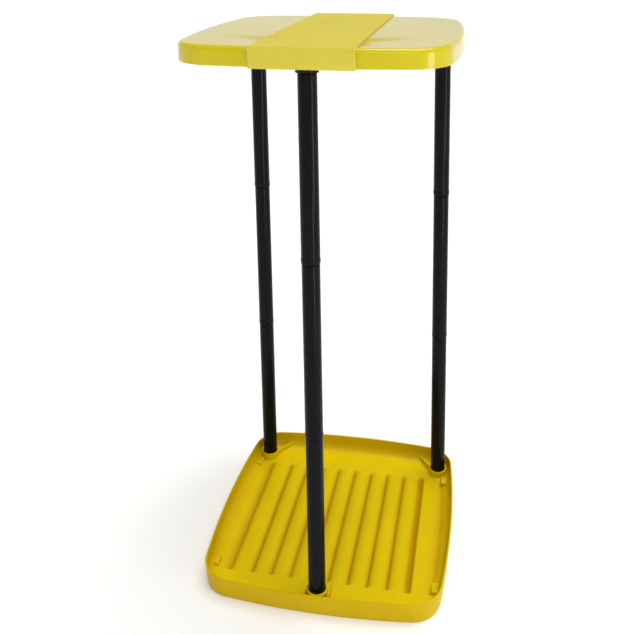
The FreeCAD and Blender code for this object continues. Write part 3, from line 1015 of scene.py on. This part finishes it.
def high_window(name, direction, spread, strength):
    """Wide even light from high up, the same over the whole stage."""
    data = bpy.data.lights.new(name, "SUN")
    data.angle = math.radians(spread)
    data.energy = strength
    light = add_object(name, data)
    light.matrix_world = Vector(direction).to_track_quat("Z", "Y").to_matrix().to_4x4()


def studio_air(scene):
    """Light from all round: pale walls near the horizon, and a dimmer ceiling."""
    world = bpy.data.worlds.new("studio_air")
    world.use_nodes = True
    tree = world.node_tree
    tree.nodes.clear()
    ray = add_node(tree, "TexCoord").outputs["Generated"]
    height = add_node(tree, "SeparateXYZ", {0: ray}).outputs["Z"]
    level = add_node(tree, "MapRange",
                     {"Value": height, "From Min": 0.14, "From Max": 0.45,
                      "To Min": 0.83, "To Max": 0.25}, interpolation_type="SMOOTHSTEP")
    air = add_node(tree, "Background",
                   {"Color": linear("F6F6F7"), "Strength": level.outputs["Result"]})
    add_node(tree, "OutputWorld", {"Surface": air.outputs[0]})
    scene.world = world
    scene.view_settings.view_transform = "Standard"


def view_camera(scene):
    """Camera at the front and a little to the right, looking down, with a slight roll.

    Its axes come from its azimuth and elevation: back points from the scene to the camera,
    and right is level.
    """
    azimuth, elevation, roll = (math.radians(angle) for angle in VIEW_ANGLES)
    back = Vector((math.sin(azimuth) * math.cos(elevation),
                   -math.cos(azimuth) * math.cos(elevation), math.sin(elevation)))
    right = Vector((0, 0, 1)).cross(back).normalized()
    up = back.cross(right)
    turned_right = math.cos(roll) * right + math.sin(roll) * up
    turned_up = -math.sin(roll) * right + math.cos(roll) * up
    data = bpy.data.cameras.new("view_camera")
    data.sensor_width = 36.0
    data.lens = VIEW_LENS
    data.shift_x, data.shift_y = VIEW_SHIFT
    camera = add_object("view_camera", data)
    basis = Matrix((turned_right, turned_up, back)).transposed().to_4x4()
    camera.matrix_world = Matrix.Translation(VIEW_PLACE) @ basis
    scene.camera = camera


class BAGHOLDER_OT_stage(bpy.types.Operator):
    """Set the pale floor, the soft lights and the camera"""

    bl_idname = "bagholder.stage"
    bl_label = "Stage"

    def execute(self, context):
        scene = context.scene
        colours = scene.bag_holder_colours
        mesh = bpy.data.meshes.new("stage_floor")
        corners = np.array([(-1, -1, 0), (1, -1, 0), (1, 1, 0), (-1, 1, 0)]) * FLOOR_REACH
        mesh.from_pydata(corners, [], [(0, 1, 2, 3)])
        mesh.materials.append(matt_floor("stage_paper", colours.stage_white))
        floor = add_object("stage_floor", mesh)

        studio_air(scene)
        high_window("high_window", (0.15, 0.14, 1.0), 45.0, 2.75)
        soft_light("front_box", (0.1, -1.15, 1.25), (0, -0.15, 0.85), (0.9, 0.5), 2.4)
        soft_light("right_strip", (1.8, -0.88, 0.68), (0, 0, 0.68), (0.6, 0.6), 6)
        soft_light("low_strip", (1.45, -1.4, 0.22), (0, 0, 0.5), (0.3, 0.42), 3)

        view_camera(scene)
        return {"FINISHED"}


# ---------------- add-on

PARTS = (BAGHOLDER_OT_stage, BAGHOLDER_OT_tray, BAGHOLDER_OT_poles, BAGHOLDER_OT_hoop,
         BAGHOLDER_OT_lid)


class BAGHOLDER_PT_panel(bpy.types.Panel):
    """Buttons for the bag holder's pieces"""

    bl_idname = "BAGHOLDER_PT_panel"
    bl_label = "Bag Holder"
    bl_space_type = "VIEW_3D"
    bl_region_type = "UI"
    bl_category = "Bag Holder"

    def draw(self, context):
        for part in PARTS:
            self.layout.operator(part.bl_idname)
        for name, group in SETTINGS.items():
            box = self.layout.box()
            for prop in group.__annotations__:
                box.prop(getattr(context.scene, name), prop)


def register():
    """Register the settings, the operators and the panel."""
    for name, group in SETTINGS.items():
        bpy.utils.register_class(group)
        setattr(bpy.types.Scene, name, bpy.props.PointerProperty(type=group))
    for part in (*PARTS, BAGHOLDER_PT_panel):
        bpy.utils.register_class(part)


def unregister():
    """Remove what register added."""
    for part in (BAGHOLDER_PT_panel, *reversed(PARTS)):
        bpy.utils.unregister_class(part)
    for name, group in SETTINGS.items():
        delattr(bpy.types.Scene, name)
        bpy.utils.unregister_class(group)


def main():
    """Build every piece in order."""
    register()
    for part in PARTS:
        family, action = part.bl_idname.split(".")
        getattr(getattr(bpy.ops, family), action)()


if __name__ == "__main__":
    main()
